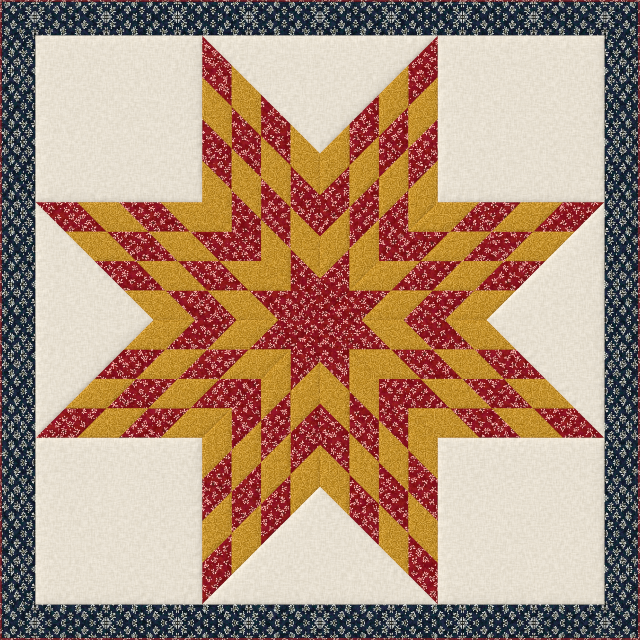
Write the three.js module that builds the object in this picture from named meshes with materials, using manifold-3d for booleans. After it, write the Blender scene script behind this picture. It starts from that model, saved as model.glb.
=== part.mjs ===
// Star quilt blanket, laid out flat with its face up. Eight points, each pieced from sixteen diamonds,
// make the star. Corner squares and side triangles fill it out to a square, four strips border it, and a
// folded binding wraps the edge. Every patch is padded and is stitched down along its seams.
// Millimetres, +Z up. The origin is the middle of the underside, and +Y runs to the top of the pattern.
import * as THREE from "three";
import { mergeVertices } from "three/addons/utils/BufferGeometryUtils.js";
import Module from "manifold-3d";

const wasm = await Module();
wasm.setup();

// Driving sizes, seam to seam
const STRIP_WIDTH = 88.9; // width of a row of diamonds, three and a half inches
const DIAMONDS_PER_SIDE = 4; // along each side of a star point
const BORDER_WIDTH = 101.6; // four inches
const BINDING_WIDTH = 6.35; // as it shows on the face, a quarter of an inch
const SEAM_GAP = 0.3; // between neighbouring pieces
const SAME_POINT = 0.001; // corners this close are one corner
const STAR_POINTS = 8;
const SIDES = 4;

// Section through the padding, from the stitched seam in to the crown of the patch
const PUFF = [
  { inset: 0, height: 4.0 },
  { inset: 4, height: 5.8 },
  { inset: 14, height: 8.4 },
  { inset: 34, height: 10.5 },
];

// Binding folded round the pressed edge of the quilt
const BINDING_HEIGHT = 5.0;
const BINDING_CLOTH = 0.8; // double cotton
const FOLD_SEGMENTS = 6;

// Sizes that follow
const POINT_ANGLE = (2 * Math.PI) / STAR_POINTS;
const QUARTER_TURN = Math.PI / 2;
const POINT_SIDE = (DIAMONDS_PER_SIDE * STRIP_WIDTH) / Math.sin(POINT_ANGLE);
const STAR_HALF = POINT_SIDE * (1 + Math.SQRT1_2); // half of the square that the star fills
const TIP_OFFSET = POINT_SIDE * Math.SQRT1_2; // from the middle of a side to a star tip
const BORDER_HALF = STAR_HALF + BORDER_WIDTH;
const QUILT_HALF = BORDER_HALF + BINDING_WIDTH;
const HALF_GAP = SEAM_GAP / 2;
const FOLD_RADIUS = BINDING_HEIGHT / 2;
const EDGE_THICKNESS = BINDING_HEIGHT - 2 * (BINDING_CLOTH + SEAM_GAP); // edge inside the binding
const EDGE_HALF = QUILT_HALF - FOLD_RADIUS; // how far that edge reaches into the fold

const cloth = {
  redPrint: new THREE.MeshStandardMaterial({ color: 0x9a3236, roughness: 0.9, metalness: 0 }),
  gold: new THREE.MeshStandardMaterial({ color: 0xc08e2e, roughness: 0.9, metalness: 0 }),
  cream: new THREE.MeshStandardMaterial({ color: 0xe6e0d1, roughness: 0.9, metalness: 0 }),
  navyPrint: new THREE.MeshStandardMaterial({ color: 0x3e484e, roughness: 0.9, metalness: 0 }),
};

const quilt = new THREE.Group();

function addPiece(name, geometry, material, turn = 0) {
  const piece = new THREE.Mesh(geometry, material);
  piece.name = name;
  piece.rotation.z = turn;
  quilt.add(piece);
}

// A convex outline with every side moved in by the same distance
function drawnIn(corners, distance) {
  return corners.map((corner, k) => {
    const before = corners.at(k - 1);
    const after = corners[(k + 1) % corners.length];
    const arriving = corner.clone().sub(before).normalize();
    const leaving = after.clone().sub(corner).normalize();
    const reach = distance / arriving.cross(leaving);
    return corner.clone().addScaledVector(leaving, reach).addScaledVector(arriving, -reach);
  });
}

const at = (point, height) => new THREE.Vector3(point.x, point.y, height);

// Two triangles for each side of a ring, between it and the ring drawn in or raised from it
function band(outer, inner) {
  return outer.flatMap((corner, k) => {
    const next = (k + 1) % outer.length;
    return [corner, outer[next], inner[next], corner, inner[next], inner[k]];
  });
}

function fan(ring) {
  return ring.slice(2).flatMap((corner, k) => [ring[0], ring[k + 1], corner]);
}

// The padded face of one patch: rings that rise and draw in from its seams, and the crown
function puffedFace(corners) {
  const rings = PUFF.map(({ inset, height }) =>
    drawnIn(corners, inset).map((corner) => at(corner, height)),
  );
  const slopes = rings.slice(1).flatMap((ring, k) => band(rings[k], ring));
  return [...slopes, ...fan(rings.at(-1))];
}

// A closed panel of one or more patches: their faces, the flat underside and the walls round the outline.
// Each patch has its own material group, so that a panel can be of two cloths.
function panelGeometry(patches, outline) {
  const points = [];
  const groups = [];
  for (const { corners, clothIndex } of patches) {
    const underside = corners.map((corner) => at(corner, 0)).reverse();
    const faces = [...puffedFace(corners), ...fan(underside)];
    groups.push({ start: points.length, count: faces.length, clothIndex });
    points.push(...faces);
  }
  const foot = outline.map((corner) => at(corner, 0));
  const seam = outline.map((corner) => at(corner, PUFF[0].height));
  const walls = band(foot, seam);
  groups.push({ start: points.length, count: walls.length, clothIndex: 0 });
  points.push(...walls);
  const geometry = new THREE.BufferGeometry().setFromPoints(points);
  groups.forEach(({ start, count, clothIndex }) => geometry.addGroup(start, count, clothIndex));
  geometry.computeVertexNormals();
  return geometry;
}

function plainPanel(corners) {
  const outline = drawnIn(corners, HALF_GAP);
  return panelGeometry([{ corners: outline, clothIndex: 0 }], outline);
}

// One star point, lying between the +X axis and the next point: rows of diamonds, red and gold by turns
function starPointGeometry() {
  const along = new THREE.Vector2(POINT_SIDE, 0);
  const across = new THREE.Vector2(Math.cos(POINT_ANGLE), Math.sin(POINT_ANGLE)).multiplyScalar(POINT_SIDE);
  const rhombus = [new THREE.Vector2(), along, along.clone().add(across), across];
  const [centre, right, , left] = drawnIn(rhombus, HALF_GAP);
  const column = right.clone().sub(centre).divideScalar(DIAMONDS_PER_SIDE);
  const row = left.clone().sub(centre).divideScalar(DIAMONDS_PER_SIDE);
  const knot = (i, j) => centre.clone().addScaledVector(column, i).addScaledVector(row, j);

  const steps = [...Array(DIAMONDS_PER_SIDE).keys()];
  const patches = steps.flatMap((i) =>
    steps.map((j) => ({
      corners: [knot(i, j), knot(i + 1, j), knot(i + 1, j + 1), knot(i, j + 1)],
      clothIndex: (i + j) % 2,
    })),
  );
  const last = DIAMONDS_PER_SIDE;
  const outline = [
    ...steps.map((i) => knot(i, 0)),
    ...steps.map((j) => knot(last, j)),
    ...steps.map((i) => knot(last - i, last)),
    ...steps.map((j) => knot(0, last - j)),
  ];
  return panelGeometry(patches, outline);
}

function rectangle(left, bottom, right, top) {
  const corners = [[left, bottom], [right, bottom], [right, top], [left, top]];
  return corners.map(([x, y]) => new THREE.Vector2(x, y));
}

function solidOf(geometry) {
  const bare = geometry.clone();
  bare.deleteAttribute("normal");
  bare.deleteAttribute("uv");
  const merged = mergeVertices(bare, SAME_POINT);
  const vertProperties = new Float32Array(merged.attributes.position.array);
  const triVerts = new Uint32Array(merged.index.array);
  return new wasm.Manifold(new wasm.Mesh({ numProp: 3, vertProperties, triVerts }));
}

function geometryOf(solid) {
  const { vertProperties, triVerts } = solid.getMesh();
  const geometry = new THREE.BufferGeometry();
  geometry.setAttribute("position", new THREE.BufferAttribute(vertProperties, 3));
  geometry.setIndex(new THREE.BufferAttribute(triVerts, 1));
  geometry.computeVertexNormals();
  return geometry;
}

// Pressed edge of the quilt, left flat to go inside the binding
function pressedEdge(left, bottom, right, top) {
  const box = new THREE.BoxGeometry(right - left, top - bottom, EDGE_THICKNESS);
  return box.translate((left + right) / 2, (bottom + top) / 2, FOLD_RADIUS);
}

// A border strip on the top side, with the pressed edges that reach from its padding into the binding
function borderGeometry(halfLength, pressedEdges) {
  const padding = plainPanel(rectangle(-halfLength, STAR_HALF, halfLength, BORDER_HALF));
  const strip = pressedEdges.reduce((solid, edge) => solid.add(solidOf(edge)), solidOf(padding));
  return geometryOf(strip);
}

// The long borders run right across, so their ends are pressed flat as well as their outer side
function longBorderGeometry() {
  const rooted = BORDER_HALF - BINDING_WIDTH; // the pressed edge starts inside the padding
  const low = STAR_HALF + HALF_GAP;
  return borderGeometry(BORDER_HALF, [
    pressedEdge(-EDGE_HALF, rooted, EDGE_HALF, EDGE_HALF),
    pressedEdge(-EDGE_HALF, low, -rooted, EDGE_HALF),
    pressedEdge(rooted, low, EDGE_HALF, EDGE_HALF),
  ]);
}

function shortBorderGeometry() {
  const end = STAR_HALF - HALF_GAP;
  return borderGeometry(STAR_HALF, [pressedEdge(-end, BORDER_HALF - BINDING_WIDTH, end, EDGE_HALF)]);
}

// Binding on the top side: the section of the folded strip, run towards -X and mitred at both ends.
// Section x is the depth in from the quilt's edge, and section y is the height.
function bindingGeometry() {
  const depth = BINDING_WIDTH - HALF_GAP;
  const slotRadius = FOLD_RADIUS - BINDING_CLOTH;
  const section = new THREE.Shape();
  section.moveTo(depth, 0);
  section.lineTo(depth, BINDING_CLOTH);
  section.absarc(FOLD_RADIUS, FOLD_RADIUS, slotRadius, -QUARTER_TURN, QUARTER_TURN, true);
  section.lineTo(depth, BINDING_HEIGHT - BINDING_CLOTH);
  section.lineTo(depth, BINDING_HEIGHT);
  section.absarc(FOLD_RADIUS, FOLD_RADIUS, FOLD_RADIUS, QUARTER_TURN, -QUARTER_TURN, false);
  section.closePath();

  const strip = new THREE.ExtrudeGeometry(section, {
    depth: 2 * QUILT_HALF,
    bevelEnabled: false,
    curveSegments: FOLD_SEGMENTS,
  });
  const position = strip.attributes.position;
  for (let k = 0; k < position.count; k += 1) {
    const inward = position.getX(k);
    const mitred = QUILT_HALF - inward - HALF_GAP * Math.SQRT2;
    const x = position.getZ(k) > QUILT_HALF ? -mitred : mitred;
    position.setXYZ(k, x, QUILT_HALF - inward, position.getY(k));
  }
  strip.computeVertexNormals();
  return strip;
}

// The star, and the squares and triangles set between its points
const starPoint = starPointGeometry();
for (let k = 0; k < STAR_POINTS; k += 1) {
  addPiece(`star_point_${k + 1}`, starPoint, [cloth.redPrint, cloth.gold], k * POINT_ANGLE);
}

const cornerSquare = plainPanel(rectangle(TIP_OFFSET, TIP_OFFSET, STAR_HALF, STAR_HALF));
const sideTriangle = plainPanel([
  new THREE.Vector2(POINT_SIDE, 0),
  new THREE.Vector2(STAR_HALF, -TIP_OFFSET),
  new THREE.Vector2(STAR_HALF, TIP_OFFSET),
]);
for (let k = 0; k < SIDES; k += 1) {
  addPiece(`corner_square_${k + 1}`, cornerSquare, cloth.cream, k * QUARTER_TURN);
  addPiece(`side_triangle_${k + 1}`, sideTriangle, cloth.cream, k * QUARTER_TURN);
}

// Border and binding, one piece a side, turned from the top side round to the right
const longBorder = longBorderGeometry();
const shortBorder = shortBorderGeometry();
const binding = bindingGeometry();
["top", "left", "bottom", "right"].forEach((side, k) => {
  addPiece(`border_${side}`, k % 2 ? shortBorder : longBorder, cloth.navyPrint, k * QUARTER_TURN);
  addPiece(`binding_${side}`, binding, cloth.redPrint, k * QUARTER_TURN);
});

export default quilt;
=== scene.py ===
import math
import bmesh
import bpy
from mathutils import Matrix, Vector, noise


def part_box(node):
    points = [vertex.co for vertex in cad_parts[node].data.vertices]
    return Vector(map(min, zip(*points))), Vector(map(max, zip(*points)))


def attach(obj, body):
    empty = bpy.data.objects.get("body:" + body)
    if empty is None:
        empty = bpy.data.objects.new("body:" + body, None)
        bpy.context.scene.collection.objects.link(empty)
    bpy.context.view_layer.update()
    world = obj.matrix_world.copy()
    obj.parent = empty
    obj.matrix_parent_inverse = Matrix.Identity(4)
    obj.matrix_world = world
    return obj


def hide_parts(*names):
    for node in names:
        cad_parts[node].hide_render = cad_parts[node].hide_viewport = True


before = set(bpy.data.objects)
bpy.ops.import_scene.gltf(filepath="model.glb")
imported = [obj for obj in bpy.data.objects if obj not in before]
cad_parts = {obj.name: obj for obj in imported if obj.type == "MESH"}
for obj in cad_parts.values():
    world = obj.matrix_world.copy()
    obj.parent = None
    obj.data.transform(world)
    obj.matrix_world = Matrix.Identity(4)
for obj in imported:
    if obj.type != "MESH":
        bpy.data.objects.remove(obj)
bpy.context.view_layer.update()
scene = bpy.context.scene
print("frame loaded:", len(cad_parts), "solids")

# the pattern's own sizes in metres, read off the solids
squareLow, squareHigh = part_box("corner_square_1")
bindingLow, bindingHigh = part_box("binding_top")
halfGap = (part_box("border_top")[0].y - squareHigh.y) / 2
starHalf = squareHigh.x + halfGap  # half of the square that the star fills
tipOffset = squareLow.x - halfGap  # from the middle of a side to a star tip
pointSide = tipOffset * math.sqrt(2)
borderHalf = bindingLow.y - halfGap
quiltHalf = bindingHigh.y
crownZ = squareHigh.z
bindingZ = bindingHigh.z

# how the pattern is divided
quiltSides = ["top", "left", "bottom", "right"]  # anticlockwise
quarterTurn = math.radians(90)
starPoints = 8
pointAngle = 2 * math.pi / starPoints
diamondsPerSide = 4

mmPerMetre = 1000.0
weldDistance = 1e-6  # m, points closer than this are one


# materials

def linear(hexCode):
    channels = [int(hexCode[k:k + 2], 16) / 255 for k in (1, 3, 5)]
    return [c / 12.92 if c <= 0.04045 else ((c + 0.055) / 1.055) ** 2.4 for c in channels] + [1.0]


# feeds: what goes into each input, a value, a node (its first output) or a (node, output) pair
def addNode(tree, kind, feeds, **settings):
    node = tree.nodes.new("ShaderNode" + kind)
    for key, value in settings.items():
        setattr(node, key, value)
    for key, feed in feeds.items():
        if isinstance(feed, bpy.types.Node):
            tree.links.new(feed.outputs[0], node.inputs[key])
        elif isinstance(feed, tuple) and isinstance(feed[0], bpy.types.Node):
            tree.links.new(feed[0].outputs[feed[1]], node.inputs[key])
        else:
            node.inputs[key].default_value = feed
    return node


# sockets of a Mix node, which has several of each name
mixShare = 0
vectorA, vectorB, vectorOut = 4, 5, 1
colourA, colourB, colourOut = 6, 7, 2


# an empty cotton material, and its point in millimetres, on the quilt or on the strip before it was folded
def newCloth(name, stripMap=None):
    cloth = bpy.data.materials.new(name)
    cloth.use_nodes = True
    tree = cloth.node_tree
    tree.nodes.clear()
    if stripMap:
        place = (addNode(tree, "Attribute", {}, attribute_name=stripMap), "Vector")
    else:
        place = (addNode(tree, "TexCoord", {}), "Object")
    point = addNode(tree, "VectorMath", {0: place, "Scale": mmPerMetre}, operation="SCALE")
    return cloth, tree, point


# thick and thin threads, drawn out along x for the weft and along y for the warp; sizes in mm
def unevenThreads(tree, point, thick, long, detail):
    threads = []
    for stretch in ((1 / long, 1 / thick, 1), (1 / thick, 1 / long, 1)):
        drawn = addNode(tree, "VectorMath", {0: point, 1: stretch}, operation="MULTIPLY")
        threads.append(addNode(tree, "TexNoise", {"Vector": drawn, "Scale": 1.0, "Detail": detail},
                               noise_dimensions="2D"))
    return threads


cotton = {
    "roughness": 0.9, "specular": 0.05, "sheen": 0.02, "sheenRoughness": 0.5,
    "thread": 1.4,       # mm; quilting cotton is about 0.4, drawn coarser so that it shows
    "slubLong": 16.0,    # mm, thick places run this far along a thread
    "slubDetail": 1.0,
    "over": 0.22,        # a thread stands this much higher where it goes over another
    # the colour is darkened by this share where the threads lie low and lightened by it where they stand
    # high: painted shade in the hollows of the weave and painted highlight on its threads
    "threadRange": (0.14, 0.94), "shade": 0.14,  # hollows between threads are this much darker
    "relief": 0.0003,    # m
}


# woven cotton: thick and thin threads both ways, dull, with a little fuzz at grazing angles
def finishCotton(tree, point, colour):
    weft, warp = unevenThreads(tree, point, cotton["thread"], cotton["slubLong"], cotton["slubDetail"])
    slubs = addNode(tree, "Math", {0: weft, 1: warp}, operation="MAXIMUM")
    # plain weave: each thread goes over one and under the next
    turns = addNode(tree, "VectorMath", {0: point, "Scale": math.pi / cotton["thread"]}, operation="SCALE")
    turns = addNode(tree, "VectorMath", {0: turns}, operation="SINE")
    turns = addNode(tree, "SeparateXYZ", {0: turns})
    over = addNode(tree, "Math", {0: (turns, "X"), 1: (turns, "Y")}, operation="MULTIPLY")
    threads = addNode(tree, "Math", {0: over, 1: cotton["over"], 2: slubs}, operation="MULTIPLY_ADD")
    bump = addNode(tree, "Bump", {"Height": threads, "Strength": 1.0, "Distance": cotton["relief"]})
    # painted shade and highlight: the colour is darker where the threads lie low, in the hollows of the weave
    # and at thin places, and lighter where they stand high
    hollow, ridge = cotton["threadRange"]
    shade = addNode(tree, "MapRange", {
        "Value": threads, "From Min": hollow, "From Max": ridge,
        "To Min": 1 - cotton["shade"], "To Max": 1 + cotton["shade"]})
    colour = addNode(tree, "VectorMath", {0: colour, "Scale": shade}, operation="SCALE")
    surface = addNode(tree, "BsdfPrincipled", {
        "Base Color": colour, "Roughness": cotton["roughness"], "Specular IOR Level": cotton["specular"],
        "Sheen Weight": cotton["sheen"], "Sheen Roughness": cotton["sheenRoughness"], "Normal": bump})
    addNode(tree, "OutputMaterial", {"Surface": surface})


navyRepeats = 18  # the navy print comes round this often across the quilt
printRepeat = 2 * quiltHalf * mmPerMetre / navyRepeats
# what all the sprigged prints share
printing = {
    "outlineBlur": 0.1,     # grains thin out over this share of a sprig's reach, on both sides of its outline
    "scatterSpread": 60.0,  # the sprigs' starts in the scatter lie over this many grains
    "unseen": 9.0,          # grains that are left out are put this many sizes away
    "driftDetail": 3.0, "driftRoughness": 0.85,
    "depth": 0.8,           # strength of the shade and of the eye
    "grainLight": (-0.4, 0.6),  # added to a grain's luck, near the eye and far from it
}


# how far a spot is from the middle of its sprig, measured so that a lozenge or an oval is even all round
def sprigReach(tree, spot, look):
    squat = addNode(tree, "VectorMath", {0: spot, 1: (1, 1 / look["tall"], 1)}, operation="MULTIPLY")
    if look["lozenge"]:
        squat = addNode(tree, "VectorMath", {0: squat}, operation="ABSOLUTE")
        return (addNode(tree, "VectorMath", {0: squat, 1: (1, 1, 0)}, operation="DOT_PRODUCT"), "Value")
    return (addNode(tree, "VectorMath", {0: squat}, operation="LENGTH"), "Value")


# a point of the cloth in the print's repeat, which a mirrored print turns over at each of its edges
def repeatPlace(tree, point, look):
    flat = addNode(tree, "VectorMath", {0: point, 1: (1, 1, 0)}, operation="MULTIPLY")
    if not look["mirrored"]:
        return flat
    # the quilt's halves are alike, so that one shift suits the strips at both of its ends
    flat = addNode(tree, "VectorMath", {0: flat}, operation="ABSOLUTE")
    flat = addNode(tree, "VectorMath", {0: flat, 1: (0, look["foldShift"], 0)}, operation="SUBTRACT")
    part = addNode(tree, "SeparateXYZ", {0: flat})
    foldX = addNode(tree, "Math", {0: (part, "X"), 1: printRepeat}, operation="PINGPONG")
    foldY = addNode(tree, "Math", {0: (part, "Y"), 1: printRepeat}, operation="PINGPONG")
    return addNode(tree, "CombineXYZ", {"X": foldX, "Y": foldY})


# where a point lies from the middle of its own sprig, in mm, that sprig's luck, and how many times
# larger than the others it is
def sprigPlace(tree, point, look):
    flat = repeatPlace(tree, point, look)
    # a square lattice turned by an eighth is a half-drop one; its points lie half the jitter off its corners
    eighthTurn = math.radians(45)
    stepX, stepY = (pitch / math.sqrt(2) for pitch in look["pitch"])
    middle = look["jitter"] / 2
    rows = addNode(tree, "Mapping", {
        "Vector": flat, "Location": (middle, middle, 0), "Rotation": (0, 0, eighthTurn),
        "Scale": (1 / stepX, 1 / stepY, 1)})
    cell = addNode(tree, "TexVoronoi", {"Vector": rows, "Scale": 1.0, "Randomness": look["jitter"]},
                   voronoi_dimensions="2D")
    offset = addNode(tree, "VectorMath", {0: rows, 1: (cell, "Position")}, operation="SUBTRACT")
    upright = addNode(tree, "VectorRotate", {"Vector": offset, "Angle": -eighthTurn}, rotation_type="Z_AXIS")
    sprig = addNode(tree, "VectorMath", {0: upright, 1: (stepX, stepY, 1)}, operation="MULTIPLY")
    lean = addNode(tree, "MapRange", {"Value": (cell, "Color"), "To Min": -look["lean"],
                                      "To Max": look["lean"]})
    sprig = addNode(tree, "VectorRotate", {"Vector": sprig, "Angle": lean}, rotation_type="Z_AXIS")
    luck = (cell, "Color")
    size = 1.0
    if look["crossHalf"]:  # one larger sprig where two edges of the repeat cross
        room = look["crossHalf"] * (1 + printing["outlineBlur"])
        evenLuck = [0.5] * 4
        atCross = addNode(tree, "Math", {0: sprigReach(tree, flat, look), 1: room}, operation="LESS_THAN")
        sprig = (addNode(tree, "Mix", {mixShare: atCross, vectorA: sprig, vectorB: flat},
                         data_type="VECTOR"), vectorOut)
        luck = (addNode(tree, "Mix", {mixShare: atCross, colourA: luck, colourB: evenLuck},
                        data_type="RGBA"), colourOut)
        size = addNode(tree, "MapRange", {"Value": atCross, "To Min": 1.0,
                                          "To Max": look["crossHalf"] / look["sprigHalf"]})
    return sprig, luck, size


# the marks of a sprig: short grains that point away from its middle, unevenly spread in its outline;
# gives how far a point is from its grain's middle, 1 at the grain's edge, and that grain's luck
def sprigGrains(tree, sprig, sprigLuck, size, look):
    pitch = look["grainPitch"]
    # each sprig takes its grains from another part of one endless scatter
    start = addNode(tree, "VectorMath", {0: sprigLuck, "Scale": printing["scatterSpread"]}, operation="SCALE")
    scatter = addNode(tree, "VectorMath", {0: sprig, 1: (1 / pitch, 1 / pitch, 0), 2: start},
                      operation="MULTIPLY_ADD")
    grain = addNode(tree, "TexVoronoi", {"Vector": scatter, "Scale": 1.0, "Randomness": look["grainJitter"]},
                    voronoi_dimensions="2D")
    lucks = addNode(tree, "SeparateColor", {0: (grain, "Color")})
    middle = addNode(tree, "VectorMath", {0: (grain, "Position"), 1: start}, operation="SUBTRACT")
    middle = addNode(tree, "VectorMath", {0: middle, 1: (pitch, pitch, 0)}, operation="MULTIPLY")
    part = addNode(tree, "SeparateXYZ", {0: middle})
    bearing = addNode(tree, "Math", {0: (part, "Y"), 1: (part, "X")}, operation="ARCTAN2")
    tilt = addNode(tree, "MapRange", {"Value": (lucks, "Red"), "To Min": -look["tilt"],
                                      "To Max": look["tilt"]})
    bearing = addNode(tree, "Math", {0: bearing, 1: tilt}, operation="ADD")
    place = addNode(tree, "VectorMath", {0: sprig, 1: middle}, operation="SUBTRACT")
    place = addNode(tree, "VectorRotate", {"Vector": place, "Angle": bearing}, rotation_type="Z_AXIS",
                    invert=True)
    place = addNode(tree, "VectorMath", {0: place, 1: (*look["grain"], 1)}, operation="DIVIDE")
    spot = addNode(tree, "VectorMath", {0: place}, operation="LENGTH")
    # grains past the outline are left out, and some inside it
    reach = addNode(tree, "Math", {0: sprigReach(tree, middle, look), 1: size}, operation="DIVIDE")
    odds = addNode(tree, "MapRange", {
        "Value": reach, "From Min": look["sprigHalf"] * (1 - printing["outlineBlur"]),
        "From Max": look["sprigHalf"] * (1 + printing["outlineBlur"]),
        "To Min": look["lost"], "To Max": 1 - look["strays"]})
    lost = addNode(tree, "Math", {0: (lucks, "Green"), 1: odds}, operation="LESS_THAN")
    spot = addNode(tree, "Math", {0: lost, 1: printing["unseen"], 2: (spot, "Value")},
                   operation="MULTIPLY_ADD")
    return spot, (lucks, "Blue")


# small light sprigs, dark in the middle, on a dyed ground
def sprigColour(tree, point, look):
    sprig, sprigLuck, size = sprigPlace(tree, point, look)
    spot, grainLuck = sprigGrains(tree, sprig, sprigLuck, size, look)
    # the ground drifts a little in depth, and between a colder and a warmer dye
    low, high = look["driftRange"]
    drift = addNode(tree, "TexNoise", {
        "Vector": point, "Scale": 1 / look["drift"], "Detail": printing["driftDetail"],
        "Roughness": printing["driftRoughness"]}, noise_dimensions="2D")
    drift = addNode(tree, "MapRange", {"Vector": (drift, "Color"), "From Min": [low] * 3,
                                       "From Max": [high] * 3}, data_type="FLOAT_VECTOR")
    drifts = addNode(tree, "SeparateXYZ", {0: (drift, "Vector")})
    grounds = []
    for deep, pale in (look["coldGround"], look["warmGround"]):
        ground = addNode(tree, "Mix", {mixShare: (drifts, "X"), colourA: linear(deep), colourB: linear(pale)},
                         data_type="RGBA")
        grounds.append((ground, colourOut))
    colour = addNode(tree, "Mix", {mixShare: (drifts, "Y"), colourA: grounds[0], colourB: grounds[1]},
                     data_type="RGBA")
    # it is deeper between the marks of a sprig, and brownish in its eye
    reach = sprigReach(tree, sprig, look)
    scaled = addNode(tree, "Math", {0: reach, 1: size}, operation="DIVIDE")
    for edge, tone in (("shadeEdge", "shade"), ("eyeEdge", "eyeTint")):
        outer, inner = look[edge]
        depth = addNode(tree, "MapRange", {"Value": scaled, "From Min": outer, "From Max": inner,
                                           "To Max": printing["depth"]})
        colour = addNode(tree, "Mix", {mixShare: depth, colourA: (colour, colourOut),
                                       colourB: linear(look[tone])}, data_type="RGBA")
    # grains are tinted near the eye, light further out, cooler or warmer by sprigs, and have a deeper rim
    near, far = look["tintReach"]
    tinted, lit = printing["grainLight"]
    light = addNode(tree, "MapRange", {"Value": reach, "From Min": near, "From Max": far,
                                       "To Min": tinted, "To Max": lit})
    light = addNode(tree, "Math", {0: light, 1: grainLuck}, operation="ADD", use_clamp=True)
    lights = addNode(tree, "Mix", {mixShare: sprigLuck, colourA: linear(look["coolLight"]),
                                   colourB: linear(look["warmLight"])}, data_type="RGBA")
    marks = addNode(tree, "Mix", {mixShare: light, colourA: linear(look["tint"]),
                                  colourB: (lights, colourOut)}, data_type="RGBA")
    rim = addNode(tree, "MapRange", {"Value": spot, "From Min": look["rimFrom"], "From Max": 1.0})
    marks = addNode(tree, "Mix", {mixShare: rim, colourA: (marks, colourOut), colourB: linear(look["rim"])},
                    data_type="RGBA")
    mark = addNode(tree, "MapRange", {"Value": spot, "From Min": look["fade"], "From Max": 1.0})
    colour = addNode(tree, "Mix", {mixShare: mark, colourA: (colour, colourOut),
                                   colourB: (marks, colourOut)}, data_type="RGBA")
    return (colour, colourOut)


# sizes in mm; lean and tilt in radians
redSprigs = {
    "pitch": (37.6, 39.2), "jitter": 0.35, "lean": math.pi, "mirrored": False,
    "lozenge": False, "tall": 1.1, "sprigHalf": 8.8,  # outline, its height over its width, and half its width
    "crossHalf": 0,  # half the width of the larger sprigs where the repeat's edges cross, 0 for none
    "lost": 0.10, "strays": 0.06,  # shares of the grains, left out inside the outline and kept outside it
    "grainPitch": 5.2, "grainJitter": 0.75, "grain": (2.4, 1.1), "tilt": 0.7,
    "rimFrom": 0.6, "fade": 1.35,  # in grain sizes, where a grain's rim starts and where its edge ends
    "shadeEdge": (10.8, 6.3), "eyeEdge": (5.2, 2.8), "tintReach": (2.0, 6.0),
    "drift": 22.0, "driftRange": (0.36, 0.64),
    "coldGround": ("#74000E", "#900C2A"), "warmGround": ("#780400", "#981E18"),
    "shade": "#6E0A0E", "eyeTint": "#4A2A1C", "tint": "#FFB0AA",
    "coolLight": "#FFE4DE", "warmLight": "#FFE0D6", "rim": "#FF545C",
}
# painted shade: the binding is the star's red print with a darker ground and dimmer marks, standing in for
# shade on its rolled edge
bindingSprigsPaintedShade = dict(redSprigs, coldGround=("#641226", "#782030"), warmGround=("#641616", "#762222"),
                     shade="#571015", tint="#EEA49E", coolLight="#EED4CE", warmLight="#EED0C8", rim="#C45054")
navySprigs = {
    "pitch": (printRepeat / 3, printRepeat / 2), "jitter": 0.1, "lean": 0.1,
    "mirrored": True, "foldShift": 0, "crossHalf": 0,
    "lozenge": True, "tall": 1.6, "sprigHalf": 11.5, "lost": 0.08, "strays": 0.0,
    "grainPitch": 4.7, "grainJitter": 0.8, "grain": (2.2, 1.05), "tilt": 0.9,
    "rimFrom": 0.85, "fade": 1.2,
    "shadeEdge": (13.8, 8.05), "eyeEdge": (5.98, 3.22), "tintReach": (3.5, 8.5),
    "drift": 15.0, "driftRange": (0.4, 0.6),
    "coldGround": ("#000C12", "#022D34"), "warmGround": ("#0E1028", "#202646"),
    "shade": "#081216", "eyeTint": "#2A2414", "tint": "#B4B494",
    "coolLight": "#E4F2F0", "warmLight": "#F2EAEC", "rim": "#707C78",
}
# the top and bottom strips have squarer sprigs in closer rows, turned over along the middle of the strip
navyEndSprigs = dict(navySprigs, pitch=(printRepeat * 0.4, printRepeat * 0.4), tall=1.4, sprigHalf=12.1,
                     foldShift=printRepeat / 2, crossHalf=16.0)


# printed cotton, small sprigs on a dyed ground
def printedCotton(name, look, stripMap=None):
    cloth, tree, point = newCloth(name, stripMap)
    finishCotton(tree, point, sprigColour(tree, point, look))
    return cloth


goldTones = {
    "dark": "#986808", "mid": "#BE8B1E", "light": "#DFB052",
    "fleck": 3.4, "cloud": 11.0,  # mm
    "cloudShare": 0.2, "detail": 1.0, "toneRange": (0.32, 0.68),
}


# cotton printed in three tones of gold, in flecks
def goldCotton():
    cloth, tree, point = newCloth("gold_tone_on_tone_cotton")
    fleck, cloud = (addNode(tree, "TexNoise", {"Vector": point, "Scale": 1 / goldTones[size],
                                               "Detail": goldTones["detail"]}, noise_dimensions="2D")
                    for size in ("fleck", "cloud"))
    tone = addNode(tree, "Math", {0: cloud, 1: goldTones["cloudShare"]}, operation="MULTIPLY")
    tone = addNode(tree, "Math", {0: fleck, 1: 1 - goldTones["cloudShare"], 2: tone},
                   operation="MULTIPLY_ADD")
    low, high = goldTones["toneRange"]
    tone = addNode(tree, "MapRange", {"Value": tone, "From Min": low, "From Max": high})
    ramp = addNode(tree, "ValToRGB", {0: tone})
    ramp.color_ramp.elements[0].color = linear(goldTones["dark"])
    ramp.color_ramp.elements[1].color = linear(goldTones["light"])
    ramp.color_ramp.elements.new(0.5).color = linear(goldTones["mid"])
    finishCotton(tree, point, ramp)
    return cloth


creamTones = {
    "plain": "#E8E1D4", "slub": "#DCD4C4",
    "thick": 4.6, "long": 20.0,  # mm; real slubs are about 1 thick, drawn coarser so that they show
    "detail": 2.0, "slubRange": (0.8, 1.25),
}


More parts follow.
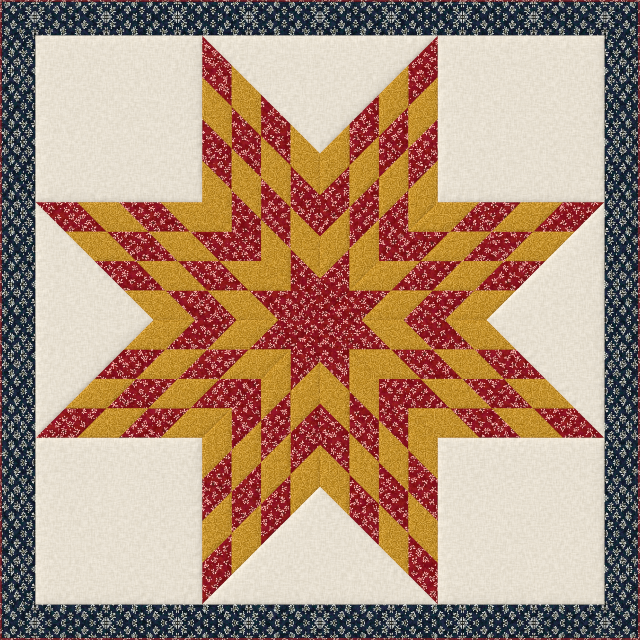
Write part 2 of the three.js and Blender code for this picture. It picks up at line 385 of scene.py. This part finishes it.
# unbleached plain cotton, with the faint streaks of slubbed thread both ways
def creamCotton(name):
    cloth, tree, point = newCloth(name)
    weft, warp = unevenThreads(tree, point, creamTones["thick"], creamTones["long"], creamTones["detail"])
    slub = addNode(tree, "Math", {0: weft, 1: warp}, operation="ADD")
    low, high = creamTones["slubRange"]
    slub = addNode(tree, "MapRange", {"Value": slub, "From Min": low, "From Max": high})
    colour = addNode(tree, "Mix", {mixShare: slub, colourA: linear(creamTones["plain"]),
                                   colourB: linear(creamTones["slub"])}, data_type="RGBA")
    finishCotton(tree, point, (colour, colourOut))
    return cloth


redPrint = printedCotton("red_sprigged_cotton", redSprigs)
# the binding's copy of the red print, darkened by painted shade
bindingPrintPaintedShade = printedCotton("red_sprigged_cotton_painted_shade", bindingSprigsPaintedShade, "strip")
navyPrint = printedCotton("navy_sprigged_cotton", navySprigs)
navyEndPrint = printedCotton("navy_close_sprigged_cotton", navyEndSprigs)
gold = goldCotton()
cream = creamCotton("cream_slubbed_cotton")
backing = creamCotton("backing_plain_cotton")
print("cloths dyed and printed")


# padded patches

padding = {
    "cell": 0.0035,       # mesh size
    "seamZ": 0.004,       # the stitched seams lie this high
    "shoulder": 0.007,    # the padding rises over about this far from a seam
    "dome": 0.026,        # and goes on swelling over this far
    "domeShare": 0.45,
    "pucker": 0.0014, "puckerReach": 0.010, "puckerLength": 0.016,
    "puckerEnd": 6,       # puckers have died out this many reaches from a seam
    "puckerDrift": 0.4,   # how fast they change on the way
    "seamSeed": 40,       # sets the puckers of one seam apart from the next one's
    "lump": 0.25, "lumpSize": 0.14, "lumpSeed": 3.7,
}


def cellsFor(length):
    return max(round(length / padding["cell"]), 1)


# each seam of a patch as its first corner and its direction, anticlockwise
def seamLines(corners):
    lines = []
    for corner, following in zip(corners, corners[1:] + corners[:1]):
        seam = (following - corner).normalized()
        lines.append((corner.x, corner.y, seam.x, seam.y))
    return lines


# height of the cloth over a patch: down at its seams, drawn into small puckers there, swelling to a crown
def paddedZ(x, y, lines):
    rise = dome = 1.0
    pucker = 0.0
    for cornerX, cornerY, seamX, seamY in lines:
        awayX = x - cornerX
        awayY = y - cornerY
        distance = max(seamX * awayY - seamY * awayX, 0.0)
        along = seamX * awayX + seamY * awayY
        rise *= 1 - math.exp(-distance / padding["shoulder"])
        dome *= 1 - math.exp(-distance / padding["dome"])
        reach = distance / padding["puckerReach"]
        if reach < padding["puckerEnd"]:
            seed = padding["seamSeed"] * (cornerX + cornerY)
            spot = (along / padding["puckerLength"], reach * padding["puckerDrift"], seed)
            pucker += reach * math.exp(1 - reach) * noise.noise(spot)
    lump = noise.noise((x / padding["lumpSize"], y / padding["lumpSize"], padding["lumpSeed"]))
    swell = rise * (1 - padding["domeShare"]) + dome * padding["domeShare"]
    height = (crownZ - padding["seamZ"]) * (1 - padding["lump"] * (0.5 + 0.5 * lump))
    return padding["seamZ"] + height * swell + padding["pucker"] * pucker


# strips of a piece's texture map, as shares of its height: walls, back, and the face above them
textureMap = {
    "walls": (0.005, 0.02), "back": (0.03, 0.09), "face": 0.1,
    "longRows": 4, "rowGap": 0.03,  # a long strip's face is cut into rows
    "ends": (0.0, 0.5), "endWidth": 0.4,  # a folded strip has its two ends in place of a back
}


# a flat grid laid over the four-sided shape that two sides span from a corner
def layGrid(corner, sideA, sideB, cellsA, cellsB):
    bm = bmesh.new()
    bm.loops.layers.uv.new("OFBake")
    bmesh.ops.create_grid(bm, x_segments=cellsA, y_segments=cellsB, size=0.5, calc_uvs=True)
    spread = Matrix((sideA, sideB, (0, 0, 1))).transposed().to_4x4()
    spread.translation = corner + (sideA + sideB) / 2
    bmesh.ops.transform(bm, matrix=spread, verts=bm.verts)
    return bm, spread


# fits the grid's texture map above the strips, a long strip of cloth as several rows
def mapFace(bm, rows=1):
    mapLayer = bm.loops.layers.uv.verify()
    rowHigh = (1 - textureMap["face"]) / rows
    for face in bm.faces:
        along = sum(loop[mapLayer].uv.x for loop in face.loops) / len(face.loops)
        row = int(along * rows)
        for loop in face.loops:
            spot = loop[mapLayer].uv
            up = row + spot.y * (1 - textureMap["rowGap"])
            loop[mapLayer].uv = (spot.x * rows - row, textureMap["face"] + up * rowHigh)


def padPatch(bm, corners):
    lines = seamLines(corners)
    for vert in bm.verts:
        vert.co.z = paddedZ(vert.co.x, vert.co.y, lines)


# closes a padded face with walls down its seams and a flat back
def closeBack(bm, spread, cloths):
    mapLayer = bm.loops.layers.uv.verify()
    rim = [edge for edge in bm.edges if edge.is_boundary]
    for edge in rim:
        edge.smooth = False
    toGrid = spread.inverted()
    rimVerts = [vert for vert in bm.verts if vert.is_boundary]
    middle = sum(((toGrid @ vert.co).xy for vert in rimVerts), Vector((0, 0))) / len(rimVerts)
    walls = bmesh.ops.extrude_edge_only(bm, edges=rim)["geom"]
    for part in walls:
        if isinstance(part, bmesh.types.BMVert):
            part.co.z = 0
    # walls are mapped by the way they face from the middle
    footV, topV = textureMap["walls"]
    for part in walls:
        if isinstance(part, bmesh.types.BMFace):
            facing = (toGrid @ part.calc_center_median()).xy - middle
            for loop in part.loops:
                swing = facing.angle_signed((toGrid @ loop.vert.co).xy - middle)
                around = (math.atan2(facing.y, facing.x) - swing) / (2 * math.pi) + 0.5
                loop[mapLayer].uv = (around, topV if loop.vert.co.z > 0 else footV)
    foot = [edge for edge in bm.edges if edge.is_boundary]
    back = bmesh.ops.holes_fill(bm, edges=foot, sides=0)["faces"]
    for edge in foot:
        edge.smooth = False
    low, high = textureMap["back"]
    for face in back:
        face.material_index = cloths.index(backing)
        for loop in face.loops:
            spot = toGrid @ loop.vert.co
            loop[mapLayer].uv = (spot.x + 0.5, low + (high - low) * (spot.y + 0.5))
    bmesh.ops.recalc_face_normals(bm, faces=bm.faces)


# makes the mesh a piece of the quilt, in the place of a solid
def sewIn(node, bm, cloths):
    mesh = bpy.data.meshes.new(node + "_cloth")
    for face in bm.faces:
        face.smooth = True
    bm.to_mesh(mesh)
    bm.free()
    for cloth in cloths:
        mesh.materials.append(cloth)
    piece = bpy.data.objects.new(node + "_cloth", mesh)
    scene.collection.objects.link(piece)
    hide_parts(node)
    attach(piece, "root")


# star points: sixteen diamonds each, red print and gold by turns

def starPoint(k):
    sideA = Matrix.Rotation(k * pointAngle, 3, "Z") @ Vector((pointSide, 0, 0))
    sideB = Matrix.Rotation((k + 1) * pointAngle, 3, "Z") @ Vector((pointSide, 0, 0))
    cells = cellsFor(pointSide / diamondsPerSide) * diamondsPerSide
    bm, spread = layGrid(Vector(), sideA, sideB, cells, cells)
    mapFace(bm)
    stepA = sideA / diamondsPerSide
    stepB = sideB / diamondsPerSide
    lines = {}
    for i in range(diamondsPerSide):
        for j in range(diamondsPerSide):
            corner = stepA * i + stepB * j
            lines[i, j] = seamLines([corner, corner + stepA, corner + stepA + stepB, corner + stepB])
    toGrid = spread.inverted()

    def diamondAt(spot):
        place = (toGrid @ spot + Vector((0.5, 0.5, 0))) * diamondsPerSide
        return tuple(min(max(int(place[axis]), 0), diamondsPerSide - 1) for axis in (0, 1))

    for face in bm.faces:
        face.material_index = sum(diamondAt(face.calc_center_median())) % 2
    for vert in bm.verts:
        vert.co.z = paddedZ(vert.co.x, vert.co.y, lines[diamondAt(vert.co)])
    cloths = [redPrint, gold, backing]
    closeBack(bm, spread, cloths)
    sewIn(f"star_point_{k + 1}", bm, cloths)


for k in range(starPoints):
    starPoint(k)
print("star points pieced")


# cream ground: a square in each corner, a triangle in the middle of each side

creamCloths = [cream, backing]


def cornerSquare(k):
    turn = Matrix.Rotation(k * quarterTurn, 3, "Z")
    low, sideA, sideB = (turn @ Vector(v) for v in (
        (tipOffset, tipOffset, 0), (pointSide, 0, 0), (0, pointSide, 0)))
    bm, spread = layGrid(low, sideA, sideB, cellsFor(pointSide), cellsFor(pointSide))
    mapFace(bm)
    padPatch(bm, [low, low + sideA, low + sideA + sideB, low + sideB])
    closeBack(bm, spread, creamCloths)
    sewIn(f"corner_square_{k + 1}", bm, creamCloths)


def sideTriangle(k):
    turn = Matrix.Rotation(k * quarterTurn, 3, "Z")
    leg = pointSide * math.sqrt(0.5)
    apex, sideA, sideB = (turn @ Vector(v) for v in ((pointSide, 0, 0), (leg, -leg, 0), (leg, leg, 0)))
    bm, spread = layGrid(apex, sideA, sideB, cellsFor(pointSide), cellsFor(pointSide))
    mapFace(bm)
    # the square is cut corner to corner along the border
    bmesh.ops.bisect_plane(bm, geom=bm.verts[:] + bm.edges[:] + bm.faces[:], dist=weldDistance,
                           plane_co=apex + sideA, plane_no=sideA + sideB, clear_outer=True)
    padPatch(bm, [apex, apex + sideA, apex + sideB])
    closeBack(bm, spread, creamCloths)
    sewIn(f"side_triangle_{k + 1}", bm, creamCloths)


for k in range(len(quiltSides)):
    cornerSquare(k)
    sideTriangle(k)
print("cream squares and triangles set in")


# border: long strips at the top and bottom, shorter ones between them

def borderStrip(side, k, halfLength, cloths):
    turn = Matrix.Rotation(k * quarterTurn, 3, "Z")
    width = borderHalf - starHalf
    low, sideA, sideB = (turn @ Vector(v) for v in (
        (-halfLength, starHalf, 0), (2 * halfLength, 0, 0), (0, width, 0)))
    rows = textureMap["longRows"]
    bm, spread = layGrid(low, sideA, sideB, cellsFor(2 * halfLength / rows) * rows, cellsFor(width))
    mapFace(bm, rows)
    padPatch(bm, [low, low + sideA, low + sideA + sideB, low + sideB])
    closeBack(bm, spread, cloths)
    sewIn(f"border_{side}", bm, cloths)


for k, side in enumerate(quiltSides):
    if side in ("top", "bottom"):
        borderStrip(side, k, borderHalf, [navyEndPrint, backing])
    else:
        borderStrip(side, k, starHalf, [navyPrint, backing])
print("border strips sewn on")


# binding: a strip folded round the quilt's edge, mitred at the corners

binding = {
    "cloth": 0.0008,      # the strip is of doubled cotton
    "foldSteps": 8,
    "drawnDown": 0.0006,  # its sewn edge lies this much lower than the fold's top
    "waver": 0.0003, "waverLength": 0.035,
    "waverSeed": (9.1, 0.5),  # sets one side's waver apart from the next one's
    "printStart": 0.006,  # from a row of sprigs to the strip's lower edge
}
bindingWidth = quiltHalf - borderHalf
foldRadius = bindingZ / 2


# under the edge, round the fold and over the face, then back inside the strip's thickness
def bindingSection():
    section = []
    bend = quiltHalf - foldRadius
    for skin, turns in ((foldRadius, 1), (foldRadius - binding["cloth"], -1)):
        path = [(borderHalf, foldRadius - skin)]
        for step in range(binding["foldSteps"] + 1):
            angle = math.pi * (step / binding["foldSteps"] - 0.5)
            path.append((bend + skin * math.cos(angle), foldRadius + skin * math.sin(angle)))
        path.append((borderHalf, foldRadius + skin - binding["drawnDown"]))
        section += path[::turns]
    return section


# cuts both ends of the top strip slantwise, to meet the strips at its sides, and closes them
def mitreEnds(bm):
    for end in (-1, 1):
        bmesh.ops.bisect_plane(bm, geom=bm.verts[:] + bm.edges[:] + bm.faces[:], dist=weldDistance,
                               plane_co=(end * quiltHalf, quiltHalf, 0), plane_no=(end, -1, 0),
                               clear_outer=True)
    cuts = [edge for edge in bm.edges if edge.is_boundary]
    mapLayer = bm.loops.layers.uv.verify()
    low, high = textureMap["back"]
    leftEnd, rightEnd = textureMap["ends"]
    for face in bmesh.ops.holes_fill(bm, edges=cuts, sides=0)["faces"]:
        for loop in face.loops:
            spot = loop.vert.co
            start = rightEnd if spot.x > 0 else leftEnd
            across = start + textureMap["endWidth"] * (quiltHalf - spot.y) / bindingWidth
            loop[mapLayer].uv = (across, low + (high - low) * spot.z / bindingZ)


def bindingStrip(side, k):
    section = bindingSection()
    rows = textureMap["longRows"]
    bm = layGrid(Vector((-quiltHalf, 0, 0)), Vector((2 * quiltHalf, 0, 0)), Vector((0, 1, 0)),
                 cellsFor(2 * quiltHalf / rows) * rows, len(section))[0]
    mapFace(bm, rows)
    # the four sides are cut from one length, and the print goes round the fold with it
    stripLayer = bm.verts.layers.float_vector.new("strip")
    around = [binding["printStart"]]
    for spot, following in zip(section, section[1:]):
        around.append(around[-1] + math.dist(spot, following))
    for vert in bm.verts:
        step = round(vert.co.y * len(section)) % len(section)
        vert[stripLayer] = (vert.co.x + 2 * quiltHalf * k, around[step], 0)
        vert.co.y, vert.co.z = section[step]
    bmesh.ops.remove_doubles(bm, verts=bm.verts, dist=weldDistance)
    mitreEnds(bm)
    # the upper side wavers a little, and lies still at the corners
    sideSeed, planeSeed = binding["waverSeed"]
    for vert in bm.verts:
        if vert.co.z > foldRadius:
            lift = noise.noise((vert.co.x / binding["waverLength"], k * sideSeed, planeSeed))
            vert.co.z += binding["waver"] * lift * min(1, (quiltHalf - abs(vert.co.x)) / bindingWidth)
    bmesh.ops.recalc_face_normals(bm, faces=bm.faces)
    bmesh.ops.rotate(bm, verts=bm.verts, cent=(0, 0, 0), matrix=Matrix.Rotation(k * quarterTurn, 3, "Z"))
    sewIn(f"binding_{side}", bm, [bindingPrintPaintedShade])


for k, side in enumerate(quiltSides):
    bindingStrip(side, k)
print("binding folded round")


# stage: pale floor, soft light from the upper left, camera straight above

stageLook = {
    "floor": "#C8C8C8", "floorHalf": 40.0,
    "floorDrop": 0.0005,  # the floor lies just clear of the quilt's back
    "fill": 0.6, "key": 2.245, "keySoftness": 12.0,
    "keyHeight": 38.0, "keyFrom": 45.0,  # degrees above the floor, and round from the top to the left
}


# matt paint, with no gloss to show a horizon in low views
def floorMaterial():
    paint = bpy.data.materials.new("floor_matt_paint")
    paint.use_nodes = True
    coat = paint.node_tree.nodes["Principled BSDF"]
    coat.inputs["Base Color"].default_value = linear(stageLook["floor"])
    coat.inputs["Roughness"].default_value = 1.0
    coat.inputs["Specular IOR Level"].default_value = 0.0
    return paint


bm = bmesh.new()
bmesh.ops.create_grid(bm, x_segments=1, y_segments=1, size=stageLook["floorHalf"])
bmesh.ops.translate(bm, verts=bm.verts, vec=(0, 0, -stageLook["floorDrop"]))
floorMesh = bpy.data.meshes.new("floor")
bm.to_mesh(floorMesh)
bm.free()
floorMesh.materials.append(floorMaterial())
floor = bpy.data.objects.new("floor", floorMesh)
scene.collection.objects.link(floor)

world = bpy.data.worlds.new("studio")
world.use_nodes = True
sky = world.node_tree.nodes["Background"]
sky.inputs["Color"].default_value = (1, 1, 1, 1)
sky.inputs["Strength"].default_value = stageLook["fill"]
scene.world = world

sun = bpy.data.lights.new("key_light", "SUN")
sun.energy = stageLook["key"]
sun.angle = math.radians(stageLook["keySoftness"])
key = bpy.data.objects.new("key_light", sun)
key.rotation_euler = (math.radians(stageLook["keyHeight"] - 90), 0, math.radians(stageLook["keyFrom"]))
scene.collection.objects.link(key)

cameraLook = {"lens": 50.0, "sensor": 36.0, "filterWidth": 0.9}
camera = bpy.data.cameras.new("camera")
camera.lens = cameraLook["lens"]
camera.sensor_width = cameraLook["sensor"]
above = quiltHalf * 2 * cameraLook["lens"] / cameraLook["sensor"]  # the quilt just fills the picture
viewer = bpy.data.objects.new("camera", camera)
viewer.location = (0, 0, above + bindingZ / 2)
scene.collection.objects.link(viewer)
scene.camera = viewer
scene.view_settings.view_transform = "Standard"
# the denoiser takes the fine print for noise, and a wide pixel filter blurs it
scene.cycles.use_denoising = False
scene.cycles.filter_width = cameraLook["filterWidth"]
print("lights and camera placed")
